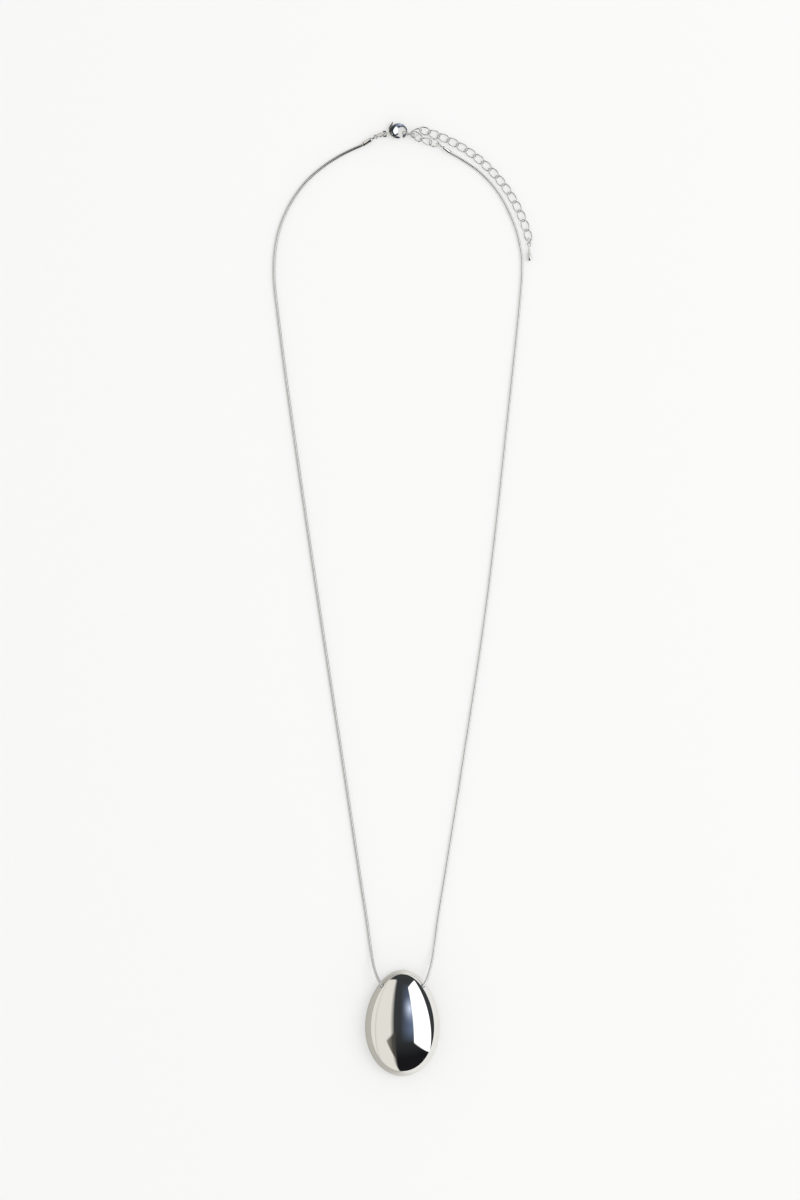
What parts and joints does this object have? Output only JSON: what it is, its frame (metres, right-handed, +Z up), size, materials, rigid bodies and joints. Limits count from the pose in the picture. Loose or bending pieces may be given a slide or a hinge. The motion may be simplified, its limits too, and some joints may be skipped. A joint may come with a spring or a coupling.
{
  "type": "pendant necklace",
  "caption": "Long snake-chain necklace with a hollow egg pendant, lobster clasp and link extender, lying flat with the clasp closed.",
  "frame": {"origin": "middle of the pendant's flat back, on the surface the necklace lies on", "axes": "+Y from the pendant to the clasp, +Z up, out of the pendant's domed front, +X to the side of the extender chain"},
  "size_m": [0.104, 0.3811, 0.0122],
  "materials": {
    "polished_shell": "mirror polish",
    "snake_chain": "fine ringed texture",
    "findings": "polished",
    "link_wire": "bright drawn wire",
    "spring_steel": "drawn wire"
  },
  "bodies": {
    "chain": {"snake_chain": "snake_chain", "end_cap_left": "findings", "end_cap_right": "findings"},
    "pendant": {"pendant_front_shell": "polished_shell", "pendant_back_shell": "polished_shell"},
    "clasp_ring": {"clasp_ring": "findings"},
    "clasp": {"clasp_body": "findings", "clasp_pin": "findings", "clasp_spring": "spring_steel"},
    "clasp_lever": {"clasp_lever": "findings"},
    "extender_ring": {"extender_ring": "findings"},
    "link_01": {"extender_link_01": "link_wire"},
    "link_02": {"extender_link_02": "link_wire"},
    "link_03": {"extender_link_03": "link_wire"},
    "link_04": {"extender_link_04": "link_wire"},
    "link_05": {"extender_link_05": "link_wire"},
    "link_06": {"extender_link_06": "link_wire"},
    "link_07": {"extender_link_07": "link_wire"},
    "link_08": {"extender_link_08": "link_wire"},
    "link_09": {"extender_link_09": "link_wire"},
    "link_10": {"extender_link_10": "link_wire"},
    "link_11": {"extender_link_11": "link_wire"},
    "link_12": {"extender_link_12": "link_wire"},
    "link_13": {"extender_link_13": "link_wire"},
    "link_14": {"extender_link_14": "link_wire"},
    "link_15": {"extender_link_15": "link_wire"},
    "link_16": {"extender_link_16": "link_wire"},
    "link_17": {"extender_link_17": "link_wire"},
    "link_18": {"extender_link_18": "link_wire"},
    "link_19": {"extender_link_19": "link_wire"},
    "link_20": {"extender_link_20": "link_wire"},
    "charm_ring": {"charm_ring": "findings"},
    "charm": {"charm_drop": "findings"}
  },
  "joints": [
    {"name": "pendant_swing", "type": "hinge", "parent": "chain", "child": "pendant", "pos_m": [0, 0.0154, 0.0057], "axis": [-1, 0, 0], "range_deg": [0, 30]},
    {"name": "clasp_ring_turn", "type": "hinge", "parent": "chain", "child": "clasp_ring", "pos_m": [-0.0107, 0.35405, 0.00185], "axis": [0, 0, 1], "range_deg": [-3, 3]},
    {"name": "clasp_turn", "type": "hinge", "parent": "clasp_ring", "child": "clasp", "pos_m": [-0.0072, 0.3551, 0.00165], "axis": [0, 0, 1], "range_deg": [-1, 1]},
    {"name": "clasp_lever_turn", "type": "hinge", "parent": "clasp", "child": "clasp_lever", "pos_m": [-0.00435, 0.35495, 0.00165], "axis": [0, 0, 1], "range_deg": [0, 18], "stiffness_Nm_per_rad": 0.0002},
    {"name": "extender_ring_turn", "type": "hinge", "parent": "chain", "child": "extender_ring", "pos_m": [0.0143, 0.35085, 0.0016], "axis": [0, 0, 1], "range_deg": [-3, 3]},
    {"name": "link_01_turn", "type": "hinge", "parent": "extender_ring", "child": "link_01", "pos_m": [0.01093, 0.35192, 0.0008], "axis": [0, 0, 1], "range_deg": [-1.5, 1.5]},
    {"name": "link_02_turn", "type": "hinge", "parent": "link_01", "child": "link_02", "pos_m": [0.00752, 0.35335, 0.0008], "axis": [0, 0, 1], "range_deg": [-1.5, 1.5]},
    {"name": "link_03_turn", "type": "hinge", "parent": "link_02", "child": "link_03", "pos_m": [0.00407, 0.35473, 0.0008], "axis": [0, 0, 1], "range_deg": [-6, 6]},
    {"name": "link_04_turn", "type": "hinge", "parent": "link_03", "child": "link_04", "pos_m": [0.00387, 0.35533, 0.0008], "axis": [0, 0, 1], "range_deg": [0, 15]},
    {"name": "link_05_turn", "type": "hinge", "parent": "link_04", "child": "link_05", "pos_m": [0.00707, 0.3559, 0.0008], "axis": [0, 0, 1], "range_deg": [0, 15]},
    {"name": "link_06_turn", "type": "hinge", "parent": "link_05", "child": "link_06", "pos_m": [0.01065, 0.3557, 0.0008], "axis": [0, 0, 1], "range_deg": [0, 15]},
    {"name": "link_07_turn", "type": "hinge", "parent": "link_06", "child": "link_07", "pos_m": [0.01441, 0.35436, 0.0008], "axis": [0, 0, 1], "range_deg": [0, 15]},
    {"name": "link_08_turn", "type": "hinge", "parent": "link_07", "child": "link_08", "pos_m": [0.01819, 0.35276, 0.0008], "axis": [0, 0, 1], "range_deg": [0, 15]},
    {"name": "link_09_turn", "type": "hinge", "parent": "link_08", "child": "link_09", "pos_m": [0.02184, 0.3509, 0.0008], "axis": [0, 0, 1], "range_deg": [0, 15]},
    {"name": "link_10_turn", "type": "hinge", "parent": "link_09", "child": "link_10", "pos_m": [0.02535, 0.34879, 0.0008], "axis": [0, 0, 1], "range_deg": [0, 15]},
    {"name": "link_11_turn", "type": "hinge", "parent": "link_10", "child": "link_11", "pos_m": [0.02871, 0.34644, 0.0008], "axis": [0, 0, 1], "range_deg": [0, 15]},
    {"name": "link_12_turn", "type": "hinge", "parent": "link_11", "child": "link_12", "pos_m": [0.03189, 0.34386, 0.0008], "axis": [0, 0, 1], "range_deg": [0, 15]},
    {"name": "link_13_turn", "type": "hinge", "parent": "link_12", "child": "link_13", "pos_m": [0.03489, 0.34107, 0.0008], "axis": [0, 0, 1], "range_deg": [0, 15]},
    {"name": "link_14_turn", "type": "hinge", "parent": "link_13", "child": "link_14", "pos_m": [0.03768, 0.33807, 0.0008], "axis": [0, 0, 1], "range_deg": [0, 15]},
    {"name": "link_15_turn", "type": "hinge", "parent": "link_14", "child": "link_15", "pos_m": [0.04026, 0.33489, 0.0008], "axis": [0, 0, 1], "range_deg": [0, 15]},
    {"name": "link_16_turn", "type": "hinge", "parent": "link_15", "child": "link_16", "pos_m": [0.04261, 0.33153, 0.0008], "axis": [0, 0, 1], "range_deg": [0, 15]},
    {"name": "link_17_turn", "type": "hinge", "parent": "link_16", "child": "link_17", "pos_m": [0.04472, 0.32802, 0.0008], "axis": [0, 0, 1], "range_deg": [0, 15]},
    {"name": "link_18_turn", "type": "hinge", "parent": "link_17", "child": "link_18", "pos_m": [0.04658, 0.32437, 0.0008], "axis": [0, 0, 1], "range_deg": [0, 15]},
    {"name": "link_19_turn", "type": "hinge", "parent": "link_18", "child": "link_19", "pos_m": [0.04818, 0.3206, 0.0008], "axis": [0, 0, 1], "range_deg": [0, 15]},
    {"name": "link_20_turn", "type": "hinge", "parent": "link_19", "child": "link_20", "pos_m": [0.04952, 0.31672, 0.0008], "axis": [0, 0, 1], "range_deg": [0, 15]},
    {"name": "charm_ring_turn", "type": "hinge", "parent": "link_20", "child": "charm_ring", "pos_m": [0.05035, 0.31355, 0.0012], "axis": [0, 0, 1], "range_deg": [0, 20]},
    {"name": "charm_turn", "type": "hinge", "parent": "charm_ring", "child": "charm", "pos_m": [0.05059, 0.31104, 0.00139], "axis": [0, 0, 1], "range_deg": [-5, 30]}
  ],
  "couplings": [
    {"joint": "clasp_turn", "follows": "clasp_ring_turn", "ratio": 0.33},
    {"joint": "extender_ring_turn", "follows": "clasp_ring_turn", "ratio": -1},
    {"joint": "link_01_turn", "follows": "clasp_ring_turn", "ratio": -0.5},
    {"joint": "link_02_turn", "follows": "clasp_ring_turn", "ratio": -0.5},
    {"joint": "link_03_turn", "follows": "clasp_ring_turn", "ratio": 2}
  ]
}
